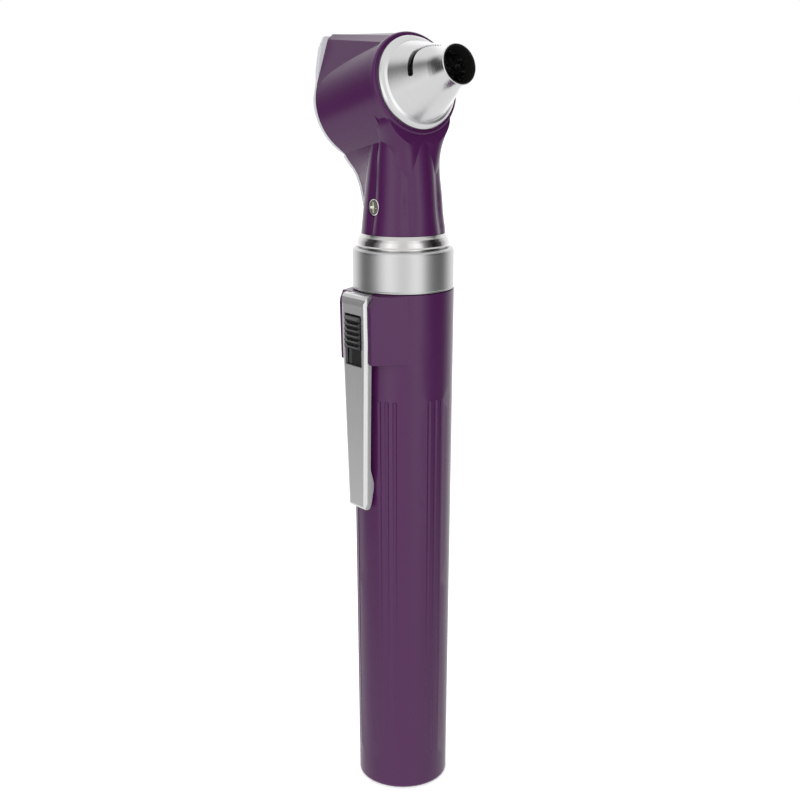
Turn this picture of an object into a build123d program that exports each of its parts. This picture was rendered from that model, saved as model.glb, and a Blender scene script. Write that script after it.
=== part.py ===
"""Pocket otoscope, built as an assembly of separate pieces.

Millimetres. +Z runs up the handle, the origin is the centre of the handle's foot.
The cone points to -Y and is tilted upwards; the clip and switch are on the -X side.
"""
import os
from math import cos, radians, sin

from build123d import *

# ---------------------------------------------------------------- handle
HANDLE_TOP = 110.7
HANDLE_R_FOOT = 9.7
HANDLE_R_TOP = 10.6
BATTERY_BORE_R = 7.5
FOOT_THICKNESS = 2.4
GROOVE_TOP = 88.6
GROOVE_BOTTOM = 8.0
GROOVE_TOOL_R = 0.5
GROOVE_GROUPS = 6
GROOVE_FIRST_DEG = 3.0
GROOVE_STEP_DEG = 9.4

# ---------------------------------------------------------------- collar
COLLAR_R = 10.5
COLLAR_TOP = 119.35
COLLAR_SPIGOT_R = 8.85
COLLAR_SPIGOT_BOTTOM = 104.8
THREAD_PITCH = 1.25
THREAD_BORE_R = 8.6
THREAD_CORE_R = 7.95
THREAD_HEIGHT = 0.5

# ---------------------------------------------------------------- clip and switch
CLIP_FACE_TOP = 13.1
CLIP_FACE_BOTTOM = 12.5
CLIP_TOP = 110.5
CLIP_BOTTOM = 64.9
CLIP_WALL = 0.62
CLIP_EDGE_R = 0.85
CLIP_HINGE_X = -9.9
CLIP_HINGE_Z = 110.15
SLOT_TOP = 106.5
SLOT_BOTTOM = 95.7
SLOT_HALF_WIDTH = 2.8
PAD_TOP = 106.2
PAD_BOTTOM = 99.3
PAD_RIBS = 6
BOSS_TOP = 110.5
BOSS_BOTTOM = 96.5
BOSS_FACE = 12.5
BOSS_HALF_WIDTH = 5.9
CHANNEL_HALF_WIDTH = 4.35
CHANNEL_FLOOR = 11.15

# ---------------------------------------------------------------- head
TILT_DEG = 15.5
HEAD_Z = 151.2
RIM_S = 4.3
RIM_R = 10.42
RING_S = 3.0
FACE_S = 3.8
FACE_R = 10.24
REAR_S = -15.5
REAR_R = 11.0
WALL = 1.5
NECK_BOTTOM = 122.3
NECK_LOBES = 6
SEAM_TOP = 140.5
SCREW_Z = 127.8
SCREW_SEAT = 6.84

# ---------------------------------------------------------------- cone
SPOUT_R = 4.05
MOUTH_S = 18.1
MOUTH_BORE_R = 3.78

# ---------------------------------------------------------------- batteries
CELL_R = 7.25
CELL_LENGTH = 50.5
CELL_START = 8.6

os.makedirs("parts", exist_ok=True)

tilt = radians(TILT_DEG)
HEAD = Plane(origin=(0, 0, HEAD_Z), x_dir=(1, 0, 0), z_dir=(0, -cos(tilt), sin(tilt)))


def head_plane(s):
    """Plane across the viewing axis, s mm in front of the handle's axis."""
    return HEAD.offset(s)


def head_point(x, v, s):
    """World position of a point given across, above and along the viewing axis."""
    y = -s * cos(tilt) + v * sin(tilt)
    z = HEAD_Z + s * sin(tilt) + v * cos(tilt)
    return Vector(x, y, z)


def disc(radius, s0, s1):
    """Round bar on the viewing axis from s0 to s1."""
    return extrude(head_plane(s0) * Circle(radius), amount=s1 - s0)


def upright(radius, z0, z1):
    """Round bar on the handle's axis from z0 to z1."""
    return Pos(0, 0, z0) * Cylinder(radius, z1 - z0, align=(Align.CENTER, Align.CENTER, Align.MIN))


def tube(outer, inner, z0, z1):
    """Round tube on the handle's axis."""
    return upright(outer, z0, z1) - upright(inner, z0 - 1, z1 + 1)


def box_between(x0, x1, y0, y1, z0, z1):
    """Axis-aligned block from its six sides."""
    size = Box(x1 - x0, y1 - y0, z1 - z0)
    return Pos((x0 + x1) / 2, (y0 + y1) / 2, (z0 + z1) / 2) * size


def turned(points, plane):
    """Solid of revolution about the plane's normal from (radius, height) points."""
    profile = Plane(origin=plane.origin, x_dir=plane.x_dir, z_dir=-plane.y_dir)
    face = profile * make_face(Polyline(*[(r, h) for r, h in points], close=True))
    return revolve(face, axis=Axis(plane.origin, plane.z_dir))


def ruled(section_a, s_a, section_b, s_b):
    """Straight-sided solid between two closed outlines across the viewing axis."""
    wire_a = (head_plane(s_a) * Polyline(*section_a, close=True)).wire()
    wire_b = (head_plane(s_b) * Polyline(*section_b, close=True)).wire()
    return Solid.make_loft([wire_a, wire_b], ruled=True)


def save(shape, name):
    """Write one piece, as a single solid or as a group of like solids."""
    solids = shape.solids()
    whole = solids[0] if len(solids) == 1 else Compound(children=list(solids))
    whole.label = name
    print(name, len(solids), round(sum(s.volume for s in solids), 2), all(s.is_valid for s in solids))
    export_step(whole, "parts/" + name + ".step")


def thread_ridge(radius, z0, turns, outward):
    """Right-handed trapezoid thread that stands out of, or into, a round wall."""
    path = Pos(0, 0, z0) * Helix(pitch=THREAD_PITCH, height=THREAD_PITCH * turns, radius=radius)
    x_dir = (1, 0, 0) if outward else (-1, 0, 0)
    start = Plane(origin=path @ 0, x_dir=x_dir, z_dir=path % 0)
    root = 0.42
    tip = 0.12
    profile = [(-0.12, -root), (THREAD_HEIGHT, -tip), (THREAD_HEIGHT, tip), (-0.12, root)]
    return sweep(start * make_face(Polyline(*profile, close=True)), path=path, is_frenet=True)


# ================================================================ handle body
def handle_radius(z):
    """Outer radius of the tapered handle at height z."""
    return HANDLE_R_FOOT + (HANDLE_R_TOP - HANDLE_R_FOOT) * z / HANDLE_TOP


outer = Pos(0, 0, HANDLE_TOP / 2) * Cone(HANDLE_R_FOOT, HANDLE_R_TOP, HANDLE_TOP)
outer = fillet(outer.edges().group_by(Axis.Z)[0], 0.9)

# raised boss whose sides run tangent to the handle and meet the clip's recess
tangent_deg = 65.5
tangent_x = -10.5 * cos(radians(tangent_deg))
tangent_y = 10.5 * sin(radians(tangent_deg))


def boss_outline(face, half_width):
    """Outline of the boss at one height, with its two long edges bevelled."""
    bevel = 0.5
    right = [(tangent_x, -tangent_y), (-face + bevel, -half_width), (-face, -half_width + bevel)]
    return right + [(x, -y) for x, y in reversed(right)]


low_outline = Polyline(*boss_outline(BOSS_FACE - 0.3, BOSS_HALF_WIDTH - 0.15), close=True)
high_outline = Polyline(*boss_outline(BOSS_FACE, BOSS_HALF_WIDTH), close=True)
boss_low = (Plane.XY.offset(BOSS_BOTTOM) * low_outline).wire()
boss_high = (Plane.XY.offset(BOSS_TOP) * high_outline).wire()
boss = Solid.make_loft([boss_low, boss_high], ruled=True)
chamfer_profile = [
    (-BOSS_FACE - 2, BOSS_TOP - 4.7),
    (-BOSS_FACE - 2, BOSS_TOP + 1),
    (-BOSS_FACE + 2.5, BOSS_TOP + 1),
]
chamfer_face = Plane.XZ * make_face(Polyline(*chamfer_profile, close=True))
boss = boss - extrude(chamfer_face, amount=20, both=True)
body = outer + boss

# groups of three round-ended finger grooves that grow shallow towards the foot
for group in range(GROOVE_GROUPS):
    for step in (-1, 0, 1):
        turn_deg = -90 + GROOVE_FIRST_DEG + group * 360 / GROOVE_GROUPS + step * GROOVE_STEP_DEG
        angle = radians(turn_deg)
        r_top = handle_radius(GROOVE_TOP) + 0.2
        r_low = handle_radius(GROOVE_BOTTOM) + 0.44
        top_point = Vector(r_top * cos(angle), r_top * sin(angle), GROOVE_TOP - GROOVE_TOOL_R)
        low_point = Vector(r_low * cos(angle), r_low * sin(angle), GROOVE_BOTTOM)
        direction = top_point - low_point
        base = Plane(origin=low_point, z_dir=direction)
        bar = base * Cylinder(GROOVE_TOOL_R, direction.length, align=(Align.CENTER, Align.CENTER, Align.MIN))
        body = body - bar
        body = body - Pos(*top_point) * Sphere(GROOVE_TOOL_R)
        body = body - Pos(*low_point) * Sphere(GROOVE_TOOL_R)

body = body - upright(BATTERY_BORE_R, FOOT_THICKNESS, HANDLE_TOP + 5)
body = body - upright(COLLAR_SPIGOT_R + 0.05, COLLAR_SPIGOT_BOTTOM, HANDLE_TOP + 5)
# recess of the clip and of the slider behind it
body = body - box_between(-20, -CHANNEL_FLOOR, -CHANNEL_HALF_WIDTH, CHANNEL_HALF_WIDTH, 90, 112)
# pocket for the clip's root bead, closed by the collar
body = body - box_between(-20, CLIP_HINGE_X + 0.55, -3.2, 3.2, 109.55, 112)
# slot for the slider's foot, and the groove that holds the contact strip
body = body - box_between(-12, -7, -1.65, 1.65, 96.2, 104.3)
body = body - box_between(-8.7, -7, -1.6, 1.6, 94.3, COLLAR_SPIGOT_BOTTOM)
body = body - box_between(-8.25, -6.5, -1.6, 1.6, FOOT_THICKNESS, 97.0)
save(body, "handle_body")

# ================================================================ collar
collar = turned(
    [
        (COLLAR_SPIGOT_R, COLLAR_SPIGOT_BOTTOM + 0.05),
        (COLLAR_SPIGOT_R, HANDLE_TOP),
        (COLLAR_R - 0.35, HANDLE_TOP),
        (COLLAR_R - 0.05, HANDLE_TOP + 0.25),
        (COLLAR_R - 0.05, HANDLE_TOP + 0.5),
        (COLLAR_R, HANDLE_TOP + 0.6),
        (COLLAR_R, COLLAR_TOP - 0.8),
        (COLLAR_R - 0.1, COLLAR_TOP - 0.42),
        (COLLAR_R - 0.3, COLLAR_TOP - 0.15),
        (COLLAR_R - 0.62, COLLAR_TOP),
        (THREAD_BORE_R, COLLAR_TOP),
        (THREAD_BORE_R, 111.2),
        (7.62, 111.2),
        (7.62, COLLAR_SPIGOT_BOTTOM + 0.05),
    ],
    Plane.XY,
)
collar = collar + thread_ridge(THREAD_BORE_R, 111.925, 5.3, False)
save(collar, "collar")

# ================================================================ clip
def clip_face(z):
    """Distance of the clip's face from the handle's axis at height z."""
    rise = (z - CLIP_BOTTOM) / (CLIP_TOP - CLIP_BOTTOM)
    return CLIP_FACE_BOTTOM + (CLIP_FACE_TOP - CLIP_FACE_BOTTOM) * rise


def clip_hull(inset, width_inset):
    """Solid of the clip's outside, or of its hollow when inset from it."""
    side = [
        (-clip_face(CLIP_TOP) + inset, 108.4),
        (-clip_face(65.6) + inset, 65.6 + inset),
        (-11.9 + inset * 0.5, CLIP_BOTTOM + inset),
        (-10.95, CLIP_BOTTOM + inset),
        (-10.8, 65.6),
        (-10.2, 69.2),
        (-10.15, 70.6),
        (-10.35, 71.3),
        (-11.1, 73.8),
        (-11.35, 100.0),
        (-11.35, 109.0),
        (-11.35, CLIP_TOP - inset),
        (-11.8, CLIP_TOP - inset),
        (-12.35, CLIP_TOP - 0.2),
        (-12.78, CLIP_TOP - 0.75),
        (-13.02, CLIP_TOP - 1.45),
    ]
    if inset:
        side = [
            (-clip_face(CLIP_TOP) + inset, 109.2),
            (-clip_face(65.6) + inset, 65.6 + inset),
            (-9.0, 65.6 + inset),
            (-9.0, 108.9),
            (-11.3, CLIP_TOP - inset),
            (-12.1, CLIP_TOP - inset),
        ]
    front = [
        (-4.15 + width_inset, 112),
        (-4.15 + width_inset, 100),
        (-3.85 + width_inset, 92),
        (-2.95 + width_inset, 66.2),
        (-2.4 + width_inset, CLIP_BOTTOM - 1),
        (2.4 - width_inset, CLIP_BOTTOM - 1),
        (2.95 - width_inset, 66.2),
        (3.85 - width_inset, 92),
        (4.15 - width_inset, 100),
        (4.15 - width_inset, 112),
    ]
    side_solid = extrude(Plane.XZ * make_face(Polyline(*side, close=True)), amount=8, both=True)
    front_solid = extrude(Plane.YZ.offset(-16) * make_face(Polyline(*front, close=True)), amount=8)
    return side_solid & front_solid


clip = clip_hull(0, 0)
long_edges = [
    e
    for e in clip.edges()
    if e.center().X < -12.3 and abs(e.center().Y) > 2.5 and e.length > 4
]
clip = fillet(long_edges, CLIP_EDGE_R)
clip = clip - clip_hull(CLIP_WALL, CLIP_WALL)
clip = clip - box_between(-20, -11.8, -SLOT_HALF_WIDTH, SLOT_HALF_WIDTH, SLOT_BOTTOM, SLOT_TOP)
tongue = box_between(-11.9, CLIP_HINGE_X, -2.95, 2.95, CLIP_HINGE_Z - 0.3, CLIP_TOP)
bead = Pos(CLIP_HINGE_X, 0, CLIP_HINGE_Z) * Rot(90, 0, 0) * Cylinder(0.38, 5.9)
clip = clip + tongue + bead
save(clip, "clip")

# ================================================================ switch slider
skirt = box_between(-12.15, -11.4, -3.0, 3.0, 94.9, 109.35)
pad = box_between(-13.2, -12.0, -2.62, 2.62, PAD_BOTTOM, PAD_TOP)
foot = box_between(-11.6, -8.5, -1.5, 1.5, 99.7, 104.0)
slider = skirt + pad + foot
rib_pitch = (PAD_TOP - PAD_BOTTOM) / PAD_RIBS
for index in range(PAD_RIBS):
    z_low = PAD_BOTTOM + index * rib_pitch
    rib_side = [
        (-13.1, z_low + 0.05),
        (-13.62, z_low + 0.32),
        (-13.72, z_low + 0.62),
        (-13.1, z_low + rib_pitch - 0.12),
    ]
    rib = extrude(Plane.XZ * make_face(Polyline(*rib_side, close=True)), amount=2.62, both=True)
    for side in (-1, 1):
        cut = [(-13.15, side * 2.62), (-13.9, side * 2.0), (-13.9, side * 3.2), (-13.15, side * 3.2)]
        bevel = extrude(Plane.XY.offset(z_low - 1) * make_face(Polyline(*cut, close=True)), amount=4)
        rib = rib - bevel
    slider = slider + rib
save(slider, "switch_slider")

# leaf that bridges the strip and the collar's tail when the slider is up
leaf = box_between(-8.5, -8.2, -1.3, 1.3, 97.9, COLLAR_SPIGOT_BOTTOM)
save(leaf, "switch_contact")

# ================================================================ contact strip
strip = box_between(-8.1, -7.75, -1.4, 1.4, FOOT_THICKNESS + 0.05, 98.9)
strip = strip + box_between(-8.1, 0, -1.4, 1.4, FOOT_THICKNESS + 0.05, FOOT_THICKNESS + 0.35)
save(strip, "contact_strip")

# ================================================================ battery spring and cells
spring_plate = upright(6.6, FOOT_THICKNESS + 0.37, FOOT_THICKNESS + 0.67)
save(spring_plate, "spring_plate")

coil_height = CELL_START - 0.35 - (FOOT_THICKNESS + 1.0)
coil = Helix(pitch=coil_height / 4, height=coil_height, radius=5.6, cone_angle=-14)
coil = Pos(0, 0, FOOT_THICKNESS + 1.0) * coil
start = Plane(origin=coil @ 0, z_dir=coil % 0)
spring = sweep(start * Circle(0.3), path=coil, is_frenet=True)
save(spring, "battery_spring")


def cell(z0):
    """One round cell with its raised terminal and flat end."""
    return turned(
        [
            (0, z0),
            (4.6, z0),
            (4.6, z0 + 0.3),
            (6.7, z0 + 0.3),
            (CELL_R, z0 + 0.8),
            (CELL_R, z0 + CELL_LENGTH - 1.9),
            (6.7, z0 + CELL_LENGTH - 1.4),
            (2.75, z0 + CELL_LENGTH - 1.4),
            (2.75, z0 + CELL_LENGTH),
            (0, z0 + CELL_LENGTH),
        ],
        Plane.XY,
    )


save(cell(CELL_START), "battery_lower")
save(cell(CELL_START + CELL_LENGTH + 0.02), "battery_upper")
cells_top = CELL_START + 2 * CELL_LENGTH + 0.02

# ================================================================ head base
base = turned(
    [
        (4.6, 113.2),
        (THREAD_CORE_R - 0.3, 113.2),
        (THREAD_CORE_R, 113.5),
        (THREAD_CORE_R, COLLAR_TOP + 0.03),
        (8.9, COLLAR_TOP + 0.03),
        (8.9, COLLAR_TOP + 0.32),
        (9.55, COLLAR_TOP + 0.42),
        (9.62, COLLAR_TOP + 0.75),
        (9.6, COLLAR_TOP + 1.15),
        (9.47, COLLAR_TOP + 1.7),
        (9.22, COLLAR_TOP + 2.25),
        (8.95, COLLAR_TOP + 2.65),
        (8.78, NECK_BOTTOM - 0.02),
        (6.0, NECK_BOTTOM - 0.02),
        (6.0, 131.0),
        (4.6, 131.0),
    ],
    Plane.XY,
)
# tapped holes for the neck screws
screw_hole = Pos(0, 0, SCREW_Z) * Rot(0, 90, 0) * Cylinder(0.8, 20)
base = base - screw_hole
base = base + thread_ridge(THREAD_CORE_R, 113.8, 3.6, True)
save(base, "head_base")

# ================================================================ head housing
# Outlines across the head are given as half outlines of (half width, height) points.
def mirrored(half):
    """Closed outline from its right half, listed from one end to the other."""
    return half + [(-x, v) for x, v in reversed(half) if x > 0]


SIDE_NORMAL = (0.897, 0.443)


def roof_rear(inset):
    """Rear outline of the roof: slanted sides, corner bevels and a flat top."""
    nx, nv = SIDE_NORMAL
    side = 11.09 - inset
    top = 15.45 - inset
    low = 4.9
    corner = 1.1

    def on_side(v):
        return (side - nv * v) / nx

    bevel = on_side(top - corner)
    return mirrored([(on_side(low), low), (bevel, top - corner), (bevel - corner * 1.35, top), (0, top)])


def roof_front(inset):
    """Front outline of the roof, just inside the round barrel."""
    shrink = 1 - inset / FACE_R
    half = [(8.2, 4.0), (6.0, 8.25), (3.4, 9.62), (0, 10.2)]
    return mirrored([(x * shrink, v * shrink) for x, v in half])


def roof(inset, s_rear, s_front):
    return ruled(roof_rear(inset), s_rear, roof_front(inset), s_front)


def barrel(inset, s_rear, s_front):
    """Slightly tapered round body of the head."""
    return turned(
        [(0, s_rear), (REAR_R - inset, s_rear), (FACE_R - inset, s_front), (0, s_front)],
        HEAD,
    )


# cheeks that carry the barrel down to the neck's shoulder
cheek_rear = mirrored([(8.0, -7.5), (5.85, -9.65)])
cheek_front = mirrored([(9.45, -3.95), (6.9, -10.3)])
cheeks = ruled(cheek_rear, REAR_S, cheek_front, 0.6)

# web behind the neck, cut back where it meets the side of the neck
web_heights = (-9.0, -11.1, -12.8, -14.3, -16.5, -25.5)
web_rear_widths = (6.1, 5.0, 3.95, 3.25, 2.8, 2.5)
web_front_widths = (6.4, 6.75, 7.2, 7.5, 7.5, 7.3)
web_rear = mirrored(list(zip(web_rear_widths, web_heights)))
web_front = mirrored(list(zip(web_front_widths, web_heights)))
web = ruled(web_rear, REAR_S, web_front, -2.5)
web = web - box_between(-30, 30, -30, 60, 60, NECK_BOTTOM)
web_front_edge = [(-30, 144), (0, 144), (0, 140.4), (2.4, 138), (4.2, 133), (5.0, 127), (5.0, 110)]
web_front_edge.append((-30, 110))
web = web - extrude(Plane.YZ * make_face(Polyline(*web_front_edge, close=True)), amount=20, both=True)

# fluted neck: six lobes that lean together, of which the two beside the front one swell at the top
# each row: height, crest, crest of the swelling lobes, valley
NECK_SECTIONS = [
    (NECK_BOTTOM, 8.69, 8.69, 8.2),
    (125.0, 8.43, 8.43, 7.78),
    (128.0, 8.15, 8.15, 7.43),
    (131.5, 7.82, 7.82, 7.2),
    (135.0, 7.48, 7.5, 7.0),
    (138.0, 7.15, 7.55, 6.8),
    (141.0, 6.75, 7.3, 6.5),
    (144.5, 6.2, 6.7, 6.1),
]


def neck_section(z, crest, swelling_crest, valley):
    """Closed lobed outline of the neck at one height."""
    lobe_deg = 360 / NECK_LOBES
    points = []
    for turn_deg in range(0, 360, 10):
        lobe = round(turn_deg / lobe_deg) % NECK_LOBES
        off_crest = abs(turn_deg - round(turn_deg / lobe_deg) * lobe_deg) / (lobe_deg / 2)
        top = swelling_crest if lobe in (1, NECK_LOBES - 1) else crest
        radius = top - (top - valley) * off_crest**2
        angle = radians(turn_deg - 90)
        points.append((radius * cos(angle), radius * sin(angle), z))
    return Wire([Spline(*points, periodic=True).edge()])


neck = Solid.make_loft([neck_section(*row) for row in NECK_SECTIONS], ruled=False)

# flare from the valleys of the neck up to the round front of the head:
# height, then radius at each of FLARE_TURNS round from the front
FLARE_TURNS = (0, 25, 45, 62, 90)
FLARE_SECTIONS = [
    (133.0, 6.6, 6.85, 6.8, 6.6, 6.2),
    (135.0, 6.7, 7.15, 7.15, 6.85, 6.3),
    (137.3, 6.75, 7.38, 7.5, 7.15, 6.4),
    (140.1, 6.72, 7.6, 8.0, 7.4, 6.5),
    (142.5, 6.9, 7.85, 8.85, 8.3, 7.2),
    (145.5, 7.2, 8.4, 9.75, 9.15, 8.0),
    (148.0, 7.5, 8.8, 9.9, 9.3, 8.5),
]


def flare_section(z, radii):
    """Outline that is round at the front and closed by a straight line across the handle's axis."""
    half = []
    for radius, turn_deg in zip(radii, FLARE_TURNS):
        half.append((radius * sin(radians(turn_deg)), -radius * cos(radians(turn_deg)), z))
    left = [(-x, y, z) for x, y, z in half[:0:-1]]
    front = Spline(*(left + half))
    return Wire([front.edge(), Line(front @ 1, front @ 0).edge()])


flare = Solid.make_loft([flare_section(row[0], row[1:]) for row in FLARE_SECTIONS], ruled=False)

# raised mould line down each side of the neck, in the valley
seam = []
for side in (-1, 1):
    outside = [(side * (row[3] + 0.1), row[0]) for row in NECK_SECTIONS if row[0] < SEAM_TOP]
    outside.append((side * 6.83, SEAM_TOP))
    inside = [(x - side * 0.5, z) for x, z in reversed(outside)]
    line_face = Plane.XZ * make_face(Polyline(*(outside + inside), close=True))
    seam.append(extrude(line_face, amount=0.15, both=True))

# ring round the seat of the cone
ring = turned(
    [
        (9.3, RING_S),
        (RIM_R, RING_S),
        (RIM_R, RIM_S - 0.42),
        (RIM_R - 0.1, RIM_S - 0.16),
        (RIM_R - 0.32, RIM_S),
        (9.3, RIM_S),
    ],
    HEAD,
)

housing = barrel(0, REAR_S, FACE_S) + roof(0, REAR_S, FACE_S - 0.02)
housing = housing + cheeks
housing = housing + web
housing = housing + neck
housing = housing + flare
for line in seam:
    housing = housing + line
front_cut = extrude(head_plane(FACE_S) * Rectangle(80, 80), amount=30)
housing = housing - front_cut
rear_cut = extrude(head_plane(REAR_S) * Rectangle(80, 120), amount=-30)
housing = housing - rear_cut
housing = housing + ring

# hollow barrel and roof, open at the rear, and the seat of the cone at the front
hollow = barrel(WALL, REAR_S - 1, 1.6) + roof(WALL, REAR_S - 1, 1.0)
housing = housing - hollow
housing = housing - disc(8.6, 0, 6)
housing = housing - disc(9.56, RIM_S - 0.75, 6)
# bore of the neck: seat of the base tube, then room for the lamp
housing = housing - upright(6.04, NECK_BOTTOM - 2, 131.2)
housing = housing - upright(5.0, 130, 143)
# screw seats on the side seam
for side in (-1, 1):
    shank = Pos(side * 6.5, 0, SCREW_Z) * Rot(0, 90, 0) * Cylinder(1.0, 4)
    head_seat = Pos(side * (SCREW_SEAT + 1.98), 0, SCREW_Z) * Rot(0, 90, 0) * Cylinder(1.85, 4)
    housing = housing - shank - head_seat
# hole for the lens pivot
PIVOT_V = -10.6
pivot_plane = Plane(origin=head_point(0, PIVOT_V, 0), x_dir=(1, 0, 0), z_dir=HEAD.z_dir)
pivot_hole = extrude(pivot_plane.offset(REAR_S - 1) * Circle(1.0), amount=6.2)
housing = housing - pivot_hole
save(housing, "head_housing")

# ================================================================ neck screws
screws = []
for side in (-1, 1):
    z_dir = (side, 0, 0)
    seat = Plane(origin=(side * (SCREW_SEAT + 0.02), 0, SCREW_Z), x_dir=(0, 1, 0), z_dir=z_dir)
    head = extrude(seat * Circle(1.76), amount=0.78)
    head = fillet(head.edges().sort_by(Axis.X)[-1 if side > 0 else 0], 0.32)
    shank = extrude(seat.offset(-2.1) * Circle(0.78), amount=2.2)
    recess = extrude(seat.offset(0.3) * Rectangle(2.2, 0.5), amount=1)
    recess = recess + extrude(seat.offset(0.3) * Rectangle(0.5, 2.2), amount=1)
    screws.append(head + shank - recess)
save(Compound(children=[s.solid() for s in screws]), "neck_screws")

# ================================================================ specula cone
flange_points = [
    (8.0, 2.1),
    (8.55, 2.1),
    (8.55, RIM_S - 0.7),
    (9.5, RIM_S - 0.7),
    (9.5, RIM_S + 0.1),
    (9.42, RIM_S + 0.55),
    (9.15, RIM_S + 1.0),
    (8.7, RIM_S + 1.35),
    (8.2, RIM_S + 1.6),
    (SPOUT_R + 0.72, 14.1),
]
lip_points = [
    (SPOUT_R, MOUTH_S - 0.12),
    (SPOUT_R - 0.1, MOUTH_S),
    (MOUTH_BORE_R, MOUTH_S),
    (SPOUT_R - 0.45, 15.7),
    (7.35, 6.2),
    (8.0, 4.6),
    (8.0, 2.1),
]
# the straight side of the cone curves gently into the spout
spout = ThreePointArc(flange_points[-1], (SPOUT_R + 0.17, 15.9), lip_points[0])
cone_outline = Polyline(*flange_points).edges() + [spout.edge()] + Polyline(*lip_points).edges()
cone_face = make_face(cone_outline)
cone_plane = Plane(origin=HEAD.origin, x_dir=HEAD.x_dir, z_dir=-HEAD.y_dir)
cone = revolve(cone_plane * cone_face, axis=Axis(HEAD.origin, HEAD.z_dir))

# bayonet slot: round the left of the cone, then forward over its top
SLOT_HALF = 0.55
SLOT_STEPS = 30
SLOT_START_DEG = 88
SLOT_END_DEG = 9


def cone_point(s, angle_deg, radius):
    """Point at an angle round the viewing axis, counted from the top towards -X."""
    a = radians(angle_deg)
    return head_point(-radius * sin(a), radius * cos(a), s)


for step in range(SLOT_STEPS + 1):
    angle_deg = SLOT_START_DEG + (SLOT_END_DEG - SLOT_START_DEG) * step / SLOT_STEPS
    forward = max(0, (66 - angle_deg) / 57)
    s = 10.65 + 3.2 * forward**3
    inner = cone_point(s, angle_deg, 3.9)
    outward = cone_point(s, angle_deg, 8.5) - inner
    cut = Plane(origin=inner, z_dir=outward) * Cylinder(
        SLOT_HALF, 4.6, align=(Align.CENTER, Align.CENTER, Align.MIN)
    )
    cone = cone - cut
save(cone, "specula_cone")

# black lining inside the cone
liner_points = [
    (6.6, 5.6),
    (7.3, 5.6),
    (7.3, 6.0),
    (6.85, 6.3),
    (SPOUT_R - 0.55, 15.7),
    (MOUTH_BORE_R - 0.06, MOUTH_S - 0.2),
    (MOUTH_BORE_R - 0.22, MOUTH_S - 0.2),
    (SPOUT_R - 0.75, 15.6),
    (6.5, 6.3),
]
save(turned(liner_points, HEAD), "cone_liner")

# ================================================================ lamp and light guide
socket = tube(4.55, 3.05, 118.6, 127.0)
save(socket, "lamp_socket")
lamp_base = upright(3.0, 119.6, 128.6) + upright(3.7, 127.05, 127.7)
save(lamp_base, "lamp_base")
bulb = upright(2.3, 128.62, 132.0)
bulb = bulb + Pos(0, 0, 132.0) * Sphere(2.3)
save(bulb, "lamp_bulb")

guide_points = [
    Vector(0, 0.4, 134.9),
    Vector(0, 0.2, 139.0),
    head_point(0, -7.8, 0.2),
    head_point(0, -6.0, 5.2),
    head_point(0, -2.75, 15.2),
]
guide_end = head_point(0, -2.75, 15.2) - head_point(0, -5.8, 6.2)
guide_path = Spline(*guide_points, tangents=[(0, 0, 1), guide_end])
guide = sweep(Plane(origin=guide_path @ 0, z_dir=guide_path % 0) * Circle(0.42), path=guide_path)
save(guide, "light_guide")

# ================================================================ centre contact of the head
bushing = turned(
    [
        (1.2, 113.2),
        (4.55, 113.2),
        (4.55, 118.5),
        (1.2, 118.5),
        (1.2, 117.7),
        (1.85, 117.7),
        (1.85, 113.55),
        (1.2, 113.55),
    ],
    Plane.XY,
)
save(bushing, "pin_bushing")
pin = upright(1.1, cells_top + 0.02, 118.75) + upright(1.78, 113.6, 114.4)
save(pin, "contact_pin")
spring_height = 117.5 - 114.6
pin_coil = Helix(pitch=spring_height / 4, height=spring_height, radius=1.5)
pin_coil = Pos(0, 0, 114.6) * pin_coil
pin_start = Plane(origin=pin_coil @ 0, z_dir=pin_coil % 0)
pin_spring = sweep(pin_start * Circle(0.14), path=pin_coil, is_frenet=True)
save(pin_spring, "contact_spring")

# ================================================================ rear plate, lens and its frame
def plate_outline():
    """Outline of the plate: roof, round barrel and the stem that closes the web."""
    half = [(5.9, 15.0), (6.9, 13.6), (8.0, 10.5), (9.4, 6.1), (10.3, 3.6)]
    for index in range(9):
        a = radians(12 - index * 9.2)
        half.append((11.05 * cos(a), 11.05 * sin(a)))
    stem = [(5.75, -9.9), (5.05, -11.2), (3.95, -12.8), (3.3, -14.3), (2.85, -16.5), (2.6, -23.6)]
    return mirrored(half + stem)


plate = extrude(head_plane(REAR_S - 0.8) * make_face(Polyline(*plate_outline(), close=True)), amount=0.78)
plate = plate - disc(7.6, REAR_S - 2, REAR_S + 1)
plate = plate - extrude(pivot_plane.offset(REAR_S - 2) * Circle(1.0), amount=3)
save(plate, "rear_plate")

FRAME_S0 = REAR_S - 2.6
FRAME_S1 = REAR_S - 1.0
frame_upper = mirrored([(5.4, 14.0), (6.1, 13.4), (7.1, 10.6), (7.8, 8.5), (8.3, 6.0), (8.3, 0.0)])
frame_face = make_face(Polyline(*frame_upper, close=True))
frame = extrude(head_plane(FRAME_S0) * frame_face, amount=1.6)
frame = frame + disc(8.8, FRAME_S0, FRAME_S1)
ear = mirrored([(5.0, -6.0), (2.2, -11.4), (1.4, -12.6)])
frame = frame + extrude(head_plane(FRAME_S0) * make_face(Polyline(*ear, close=True)), amount=1.6)
frame = frame - disc(6.9, FRAME_S0 - 1, FRAME_S1 + 1)
frame = frame - disc(7.35, FRAME_S0 + 0.4, FRAME_S1 + 1)
frame = frame - extrude(pivot_plane.offset(FRAME_S0 - 1) * Circle(1.06), amount=4)
save(frame, "lens_frame")

lens_points = [(0, FRAME_S0 - 0.35), (3.5, FRAME_S0 - 0.1), (6.85, FRAME_S0 + 0.42), (7.3, FRAME_S0 + 0.42)]
lens_points = lens_points + [(7.3, FRAME_S1 - 0.1), (0, FRAME_S1 - 0.1)]
save(turned(lens_points, HEAD), "magnifier_lens")

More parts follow.
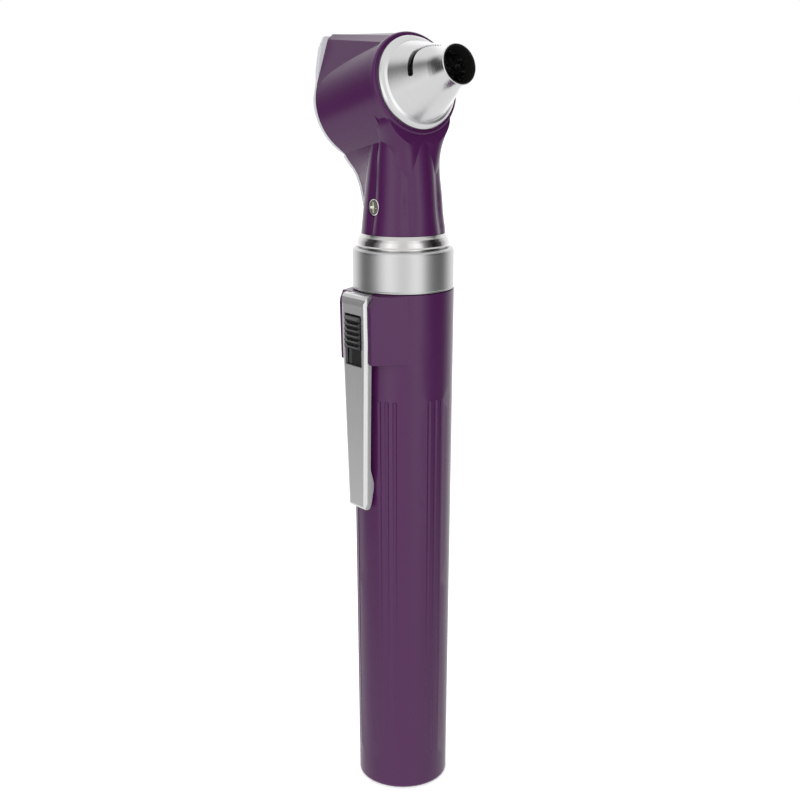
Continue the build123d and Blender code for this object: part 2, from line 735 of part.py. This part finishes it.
pivot = extrude(pivot_plane.offset(FRAME_S0 - 0.35) * Circle(0.98), amount=7.8)
pivot = pivot + extrude(pivot_plane.offset(FRAME_S0 - 1.0) * Circle(1.9), amount=0.66)
save(pivot, "lens_pivot")
washer = extrude(pivot_plane.offset(FRAME_S0 - 0.31) * Circle(1.8), amount=0.29)
washer = washer - extrude(pivot_plane.offset(FRAME_S0 - 1) * Circle(1.06), amount=3)
save(washer, "lens_washer")
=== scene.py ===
"""Looks of the pocket otoscope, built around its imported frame. Metres throughout."""
from math import cos, radians, sin

import bpy
from mathutils import Euler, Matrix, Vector


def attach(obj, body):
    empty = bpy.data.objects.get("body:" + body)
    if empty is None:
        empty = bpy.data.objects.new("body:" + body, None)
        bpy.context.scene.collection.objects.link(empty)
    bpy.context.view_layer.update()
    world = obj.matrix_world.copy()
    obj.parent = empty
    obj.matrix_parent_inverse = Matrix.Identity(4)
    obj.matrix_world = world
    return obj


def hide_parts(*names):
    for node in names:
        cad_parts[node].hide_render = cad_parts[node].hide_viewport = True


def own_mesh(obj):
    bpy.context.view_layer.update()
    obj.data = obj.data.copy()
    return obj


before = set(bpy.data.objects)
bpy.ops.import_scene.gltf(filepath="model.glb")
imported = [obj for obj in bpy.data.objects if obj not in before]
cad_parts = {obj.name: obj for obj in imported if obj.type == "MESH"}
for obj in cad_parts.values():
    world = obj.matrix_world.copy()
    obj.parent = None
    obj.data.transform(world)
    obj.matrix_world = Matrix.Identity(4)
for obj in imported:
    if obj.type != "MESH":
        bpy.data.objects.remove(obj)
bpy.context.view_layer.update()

# ---------------------------------------------------------------- camera
VIEW_TURN_DEG = 38.0
CAMERA_DISTANCE = 0.280
CAMERA_HEIGHT = 0.1573
CAMERA_PITCH_DEG = 14.2
CAMERA_YAW_DEG = 0.135
LENS_MM = 60.975

camera_data = bpy.data.cameras.new("camera")
camera_data.lens = LENS_MM
camera_data.sensor_width = 36.0
camera_data.clip_start = 0.01
camera_data.clip_end = 20.0
camera = bpy.data.objects.new("camera", camera_data)
turn = radians(VIEW_TURN_DEG)
camera.location = (-CAMERA_DISTANCE * sin(turn), -CAMERA_DISTANCE * cos(turn), CAMERA_HEIGHT)
camera_pitch = radians(90 - CAMERA_PITCH_DEG)
camera_heading = radians(CAMERA_YAW_DEG - VIEW_TURN_DEG)
camera.rotation_euler = Euler((camera_pitch, 0, camera_heading))
bpy.context.scene.collection.objects.link(camera)
bpy.context.scene.camera = camera


# ---------------------------------------------------------------- helpers
def srgb(r, g, b):
    """8-bit display colour to the linear RGBA that shaders take."""
    out = []
    for value in (r, g, b):
        c = value / 255
        out.append(c / 12.92 if c <= 0.04045 else ((c + 0.055) / 1.055) ** 2.4)
    return (*out, 1.0)


class Mat:
    """A node material with a Principled shader and small ways to add detail to it."""

    def __init__(self, name, color, rough, metal=0.0, **sockets):
        self.mat = bpy.data.materials.new(name)
        self.mat.use_nodes = True
        self.mat.diffuse_color = color
        self.nodes = self.mat.node_tree.nodes
        self.links = self.mat.node_tree.links
        self.shader = self.nodes["Principled BSDF"]
        self.shader.inputs["Base Color"].default_value = color
        self.shader.inputs["Roughness"].default_value = rough
        self.shader.inputs["Metallic"].default_value = metal
        for key, value in sockets.items():
            self.shader.inputs[key.replace("_", " ")].default_value = value
        self.coords = self.nodes.new("ShaderNodeTexCoord")

    def mapping(self, scale):
        """The object's own coordinates, stretched along each axis."""
        node = self.nodes.new("ShaderNodeMapping")
        node.inputs["Scale"].default_value = scale
        self.links.new(self.coords.outputs["Object"], node.inputs["Vector"])
        return node.outputs["Vector"]

    def noise(self, vector, scale, detail=3.0):
        """Cloudy values between 0 and 1."""
        node = self.nodes.new("ShaderNodeTexNoise")
        node.inputs["Scale"].default_value = scale
        node.inputs["Detail"].default_value = detail
        node.inputs["Roughness"].default_value = 0.55
        self.links.new(vector, node.inputs["Vector"])
        return node.outputs["Fac"]

    def remap(self, value, low_in, high_in, low_out, high_out):
        """Value moved from one range to another, and held at its ends."""
        node = self.nodes.new("ShaderNodeMapRange")
        node.inputs["From Min"].default_value = low_in
        node.inputs["From Max"].default_value = high_in
        node.inputs["To Min"].default_value = low_out
        node.inputs["To Max"].default_value = high_out
        self.links.new(value, node.inputs["Value"])
        return node.outputs["Result"]

    def rough_from(self, value):
        """Let a changing value drive the gloss."""
        self.links.new(value, self.shader.inputs["Roughness"])

    def colour_between(self, value, low, high):
        """Let a changing value mix two colours."""
        node = self.nodes.new("ShaderNodeMix")
        node.data_type = "RGBA"
        node.inputs["A"].default_value = low
        node.inputs["B"].default_value = high
        self.links.new(value, node.inputs["Factor"])
        self.links.new(node.outputs["Result"], self.shader.inputs["Base Color"])

    def bump(self, height, distance, strength):
        """Small relief of the surface, distance metres deep."""
        node = self.nodes.new("ShaderNodeBump")
        node.inputs["Distance"].default_value = distance
        node.inputs["Strength"].default_value = strength
        self.links.new(height, node.inputs["Height"])
        self.links.new(node.outputs["Normal"], self.shader.inputs["Normal"])

    def turning_marks(self, origin, axis, scale):
        """Coordinates that change only along an axis, for marks left by a lathe round it."""
        subtract = self.nodes.new("ShaderNodeVectorMath")
        subtract.operation = "SUBTRACT"
        subtract.inputs[1].default_value = origin
        self.links.new(self.coords.outputs["Object"], subtract.inputs[0])
        along = self.nodes.new("ShaderNodeVectorMath")
        along.operation = "DOT_PRODUCT"
        along.inputs[1].default_value = axis
        self.links.new(subtract.outputs["Vector"], along.inputs[0])
        stretch = self.nodes.new("ShaderNodeMath")
        stretch.operation = "MULTIPLY"
        stretch.inputs[1].default_value = scale
        self.links.new(along.outputs["Value"], stretch.inputs[0])
        combine = self.nodes.new("ShaderNodeCombineXYZ")
        self.links.new(stretch.outputs["Value"], combine.inputs["X"])
        return combine.outputs["Vector"]


def paint(node, material):
    """Give a CAD node one material on all its slots."""
    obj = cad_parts[node]
    if not obj.material_slots:
        obj.data.materials.append(material.mat)
    for slot in obj.material_slots:
        slot.material = material.mat


# the head's viewing axis, which the cone is turned on, and where it crosses the handle's axis
TILT = radians(15.5)
VIEW_AXIS = (0.0, -cos(TILT), sin(TILT))
HEAD_CENTRE = (0.0, 0.0, 0.1512)


# ---------------------------------------------------------------- materials
def satin_plastic(name, color, deep, rough, shine=0.42):
    """Moulded plastic with a fine grain and slow changes in gloss and colour."""
    m = Mat(name, color, rough, Specular_IOR_Level=shine)
    fine = m.noise(m.mapping((1, 1, 1)), 5200, detail=2)
    soft = m.noise(m.mapping((1, 1, 0.35)), 60, detail=3)
    m.rough_from(m.remap(soft, 0.0, 1.0, rough - 0.05, rough + 0.06))
    m.colour_between(soft, deep, color)
    m.bump(fine, 0.000006, 0.5)
    return m


def small_metal(name, color, rough):
    """Plain metal of a small part, with fine rubbed marks in its gloss."""
    m = Mat(name, color, rough, 1.0)
    rubbed = m.noise(m.mapping((1, 1, 1)), 2400, detail=4)
    m.rough_from(m.remap(rubbed, 0.0, 1.0, rough - 0.12, rough + 0.12))
    return m


purple = satin_plastic("purple_plastic", srgb(71, 24, 74), srgb(68, 22, 71), 0.27)
black_plastic = satin_plastic("black_plastic", srgb(11, 11, 12), srgb(7, 7, 8), 0.2, 0.75)
pale_plastic = satin_plastic("pale_plastic", srgb(206, 207, 211), srgb(200, 201, 205), 0.25)

satin_metal = Mat("satin_metal", srgb(200, 200, 201), 0.34, 1.0)
marks = satin_metal.noise(satin_metal.turning_marks((0, 0, 0), (0, 0, 1), 9000), 1.0, detail=4)
satin_metal.rough_from(satin_metal.remap(marks, 0.3, 0.7, 0.30, 0.40))
satin_metal.bump(marks, 0.000004, 0.5)

polished = Mat("polished_metal", srgb(208, 207, 206), 0.12, 1.0)
swirl = polished.noise(polished.mapping((1, 1, 1)), 900, detail=3)
polished.rough_from(polished.remap(swirl, 0.3, 0.7, 0.10, 0.16))

screw_metal = Mat("screw_metal", srgb(250, 248, 240), 0.12, 1.0)
screw_marks = screw_metal.noise(screw_metal.mapping((1, 1, 1)), 2600, detail=4)
screw_metal.rough_from(screw_metal.remap(screw_marks, 0.3, 0.7, 0.08, 0.2))

clip_metal = Mat("clip_metal", srgb(222, 222, 223), 0.36, 1.0)
grain = clip_metal.noise(clip_metal.mapping((1, 1, 0.02)), 4200, detail=3)
clip_metal.rough_from(clip_metal.remap(grain, 0.3, 0.7, 0.32, 0.42))
clip_metal.bump(grain, 0.000003, 0.5)

turned_metal = Mat("turned_metal", srgb(216, 216, 217), 0.24, 1.0)
rings = turned_metal.noise(turned_metal.turning_marks(HEAD_CENTRE, VIEW_AXIS, 7000), 1.0, detail=5)
turned_metal.rough_from(turned_metal.remap(rings, 0.3, 0.7, 0.16, 0.30))
turned_metal.bump(rings, 0.000002, 0.4)

dark_lining = Mat("dark_lining", srgb(16, 16, 14), 0.7, Specular_IOR_Level=0.15)
lining_grain = dark_lining.noise(dark_lining.mapping((1, 1, 1)), 3000, detail=3)
dark_lining.rough_from(dark_lining.remap(lining_grain, 0.3, 0.7, 0.62, 0.78))

brass = small_metal("brass_plate", srgb(205, 170, 100), 0.28)
steel = small_metal("steel_plate", srgb(190, 190, 190), 0.26)
bulb_glass = Mat("bulb_glass", (1, 1, 1, 1), 0.02, Transmission_Weight=1.0, IOR=1.47)
lens_glass = Mat("lens_glass", (1, 1, 1, 1), 0.01, Transmission_Weight=1.0, IOR=1.52)
guide_clear = Mat("guide_clear", (0.95, 0.97, 1, 1), 0.05, Transmission_Weight=0.9, IOR=1.49)
cell_sleeve = satin_plastic("cell_sleeve", srgb(70, 74, 82), srgb(66, 70, 78), 0.3)
ivory = satin_plastic("ivory_insulator", srgb(220, 214, 200), srgb(214, 208, 194), 0.45)

FINISHES = {
    "handle_body": purple,
    "head_housing": purple,
    "collar": satin_metal,
    "clip": clip_metal,
    "switch_slider": black_plastic,
    "head_base": polished,
    "neck_screws": screw_metal,
    "specula_cone": turned_metal,
    "cone_liner": dark_lining,
    "rear_plate": pale_plastic,
    "lens_frame": pale_plastic,
    "magnifier_lens": lens_glass,
    "lens_pivot": steel,
    "lens_washer": steel,
    "lamp_base": steel,
    "lamp_bulb": bulb_glass,
    "lamp_socket": black_plastic,
    "light_guide": guide_clear,
    "pin_bushing": ivory,
    "contact_pin": brass,
    "contact_spring": steel,
    "battery_spring": steel,
    "spring_plate": steel,
    "battery_lower": cell_sleeve,
    "battery_upper": cell_sleeve,
    "contact_strip": brass,
    "switch_contact": brass,
}
for node_name, finish in FINISHES.items():
    paint(node_name, finish)

# the pin's spring, copied and tied to the head, stays under the bushing's roof in place of the CAD
# spring
cad_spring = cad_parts["contact_spring"]
spring_coil = bpy.data.objects.new("contact_spring_coil", cad_spring.data.copy())
spring_coil.matrix_world = cad_spring.matrix_world.copy()
bpy.context.scene.collection.objects.link(spring_coil)
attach(spring_coil, "head")
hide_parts("contact_spring")
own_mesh(spring_coil)

# ---------------------------------------------------------------- floor and light
FLOOR_HALF = 3.0
FLOOR_GLOW = 0.45

floor_mesh = bpy.data.meshes.new("floor")
corners = [(-1, -1), (1, -1), (1, 1), (-1, 1)]
floor_mesh.from_pydata([(x * FLOOR_HALF, y * FLOOR_HALF, 0) for x, y in corners], [], [(0, 1, 2, 3)])
floor = bpy.data.objects.new("floor", floor_mesh)
bpy.context.scene.collection.objects.link(floor)
# a bright paper sweep that takes the object's shadow, and that every ray but the camera's passes through
floor_paint = Mat(
    "floor_paint",
    (0.9, 0.9, 0.9, 1),
    0.8,
    Specular_IOR_Level=0.0,
    Emission_Strength=FLOOR_GLOW,
)
floor_paint.shader.inputs["Emission Color"].default_value = (1, 1, 1, 1)
ray = floor_paint.nodes.new("ShaderNodeLightPath")
clear = floor_paint.nodes.new("ShaderNodeBsdfTransparent")
choice = floor_paint.nodes.new("ShaderNodeMixShader")
floor_paint.links.new(ray.outputs["Is Camera Ray"], choice.inputs["Fac"])
floor_paint.links.new(clear.outputs["BSDF"], choice.inputs[1])
floor_paint.links.new(floor_paint.shader.outputs["BSDF"], choice.inputs[2])
floor_paint.links.new(choice.outputs["Shader"], floor_paint.nodes["Material Output"].inputs["Surface"])
floor_mesh.materials.append(floor_paint.mat)

# Studio round the object: two broad lamps to the front, dark cards at the sides, a white wall behind.
# Each row: cosine of the turn from the photographer's side, brightness.
STUDIO_TURN = [
    (-1.0, 1.3),
    (-0.72, 1.15),
    (-0.45, 0.62),
    (-0.25, 0.08),
    (0.15, 0.04),
    (0.38, 0.25),
    (0.6, 0.95),
    (0.84, 1.55),
    (0.95, 1.25),
    (1.0, 0.9),
]
# Each row: sine of the height above the horizon, share of the lamps and cards there.
STUDIO_BELT = [(-1.0, 0.0), (-0.45, 0.0), (-0.22, 1.0), (0.5, 1.0), (0.8, 0.0), (1.0, 0.0)]
# brightness above and below the lamps
DOME_LEVEL = 0.95
# how much of the right lamp's light the card lets through, and its turn from the photographer's side
RIGHT_CARD = 0.35
RIGHT_CARD_DEG = 72.0

world = bpy.data.worlds.new("studio")
bpy.context.scene.world = world
world.use_nodes = True
sky = world.node_tree


def sky_node(kind, **settings):
    """New node of the studio's shader."""
    node = sky.nodes.new(kind)
    for key, value in settings.items():
        setattr(node, key, value)
    return node


def sky_ramp(value, table):
    """Colour ramp over -1..1 with smooth steps between (position, brightness) rows."""
    shift = sky_node("ShaderNodeMapRange")
    shift.inputs["From Min"].default_value = -1.0
    sky.links.new(value, shift.inputs["Value"])
    ramp = sky_node("ShaderNodeValToRGB")
    ramp.color_ramp.interpolation = "EASE"
    stops = ramp.color_ramp.elements
    while len(stops) < len(table):
        stops.new(0.5)
    for stop, (position, level) in zip(stops, table):
        stop.position = (position + 1) / 2
        stop.color = (level, level, level, 1)
    sky.links.new(shift.outputs["Result"], ramp.inputs["Fac"])
    return ramp.outputs["Color"]


toward_camera = (-sin(turn), -cos(turn), 0)
look = sky_node("ShaderNodeTexCoord").outputs["Generated"]
split = sky_node("ShaderNodeSeparateXYZ")
sky.links.new(look, split.inputs["Vector"])
flat = sky_node("ShaderNodeVectorMath", operation="MULTIPLY")
flat.inputs[1].default_value = (1, 1, 0)
sky.links.new(look, flat.inputs[0])
level_dir = sky_node("ShaderNodeVectorMath", operation="NORMALIZE")
sky.links.new(flat.outputs["Vector"], level_dir.inputs[0])
facing = sky_node("ShaderNodeVectorMath", operation="DOT_PRODUCT")
facing.inputs[1].default_value = toward_camera
sky.links.new(level_dir.outputs["Vector"], facing.inputs[0])
front_to_back = sky_ramp(facing.outputs["Value"], STUDIO_TURN)
# a further card to the right of the photographer takes the edge off the right lamp
card_turn = turn - radians(RIGHT_CARD_DEG)
toward_card = sky_node("ShaderNodeVectorMath", operation="DOT_PRODUCT")
toward_card.inputs[1].default_value = (-sin(card_turn), -cos(card_turn), 0)
sky.links.new(level_dir.outputs["Vector"], toward_card.inputs[0])
card_table = [(-1.0, 1.0), (0.89, 1.0), (0.97, RIGHT_CARD), (1.0, RIGHT_CARD)]
right_card = sky_ramp(toward_card.outputs["Value"], card_table)
by_turn_node = sky_node("ShaderNodeMix", data_type="RGBA", blend_type="MULTIPLY")
by_turn_node.inputs["Factor"].default_value = 1.0
sky.links.new(front_to_back, by_turn_node.inputs["A"])
sky.links.new(right_card, by_turn_node.inputs["B"])
by_turn = by_turn_node.outputs["Result"]
belt = sky_ramp(split.outputs["Z"], STUDIO_BELT)
studio = sky_node("ShaderNodeMix", data_type="RGBA")
studio.inputs["A"].default_value = (DOME_LEVEL, DOME_LEVEL, DOME_LEVEL, 1)
sky.links.new(belt, studio.inputs["Factor"])
sky.links.new(by_turn, studio.inputs["B"])
# the camera itself sees plain white paper behind the object
seen = sky_node("ShaderNodeMix", data_type="RGBA")
seen.inputs["B"].default_value = (1, 1, 1, 1)
sky.links.new(sky_node("ShaderNodeLightPath").outputs["Is Camera Ray"], seen.inputs["Factor"])
sky.links.new(studio.outputs["Result"], seen.inputs["A"])
sky.links.new(seen.outputs["Result"], sky.nodes["Background"].inputs["Color"])
sky.nodes["Background"].inputs["Strength"].default_value = 1.0


def around_view(side, depth, height):
    """World place from camera-wise right, away and up, measured from the handle's axis."""
    right = Vector((cos(turn), -sin(turn), 0))
    away = Vector((sin(turn), cos(turn), 0))
    return right * side + away * depth + Vector((0, 0, height))


def soft_lamp(name, place, target, size, power):
    """Broad lamp that lights matt surfaces but stays out of reflections."""
    data = bpy.data.lights.new(name, "AREA")
    data.shape = "RECTANGLE"
    data.size, data.size_y = size
    data.energy = power
    lamp = bpy.data.objects.new(name, data)
    lamp.location = place
    lamp.rotation_euler = (target - place).to_track_quat("-Z", "Y").to_euler()
    lamp.visible_glossy = False
    bpy.context.scene.collection.objects.link(lamp)


FILL_PLACE = around_view(-0.15, -0.8, 0.25)
FILL_TARGET = Vector((0, 0, 0.09))
FILL_SIZE = (0.5, 0.7)
FILL_POWER = 2.2
soft_lamp("front_fill", FILL_PLACE, FILL_TARGET, FILL_SIZE, FILL_POWER)

bpy.context.scene.view_settings.view_transform = "Standard"
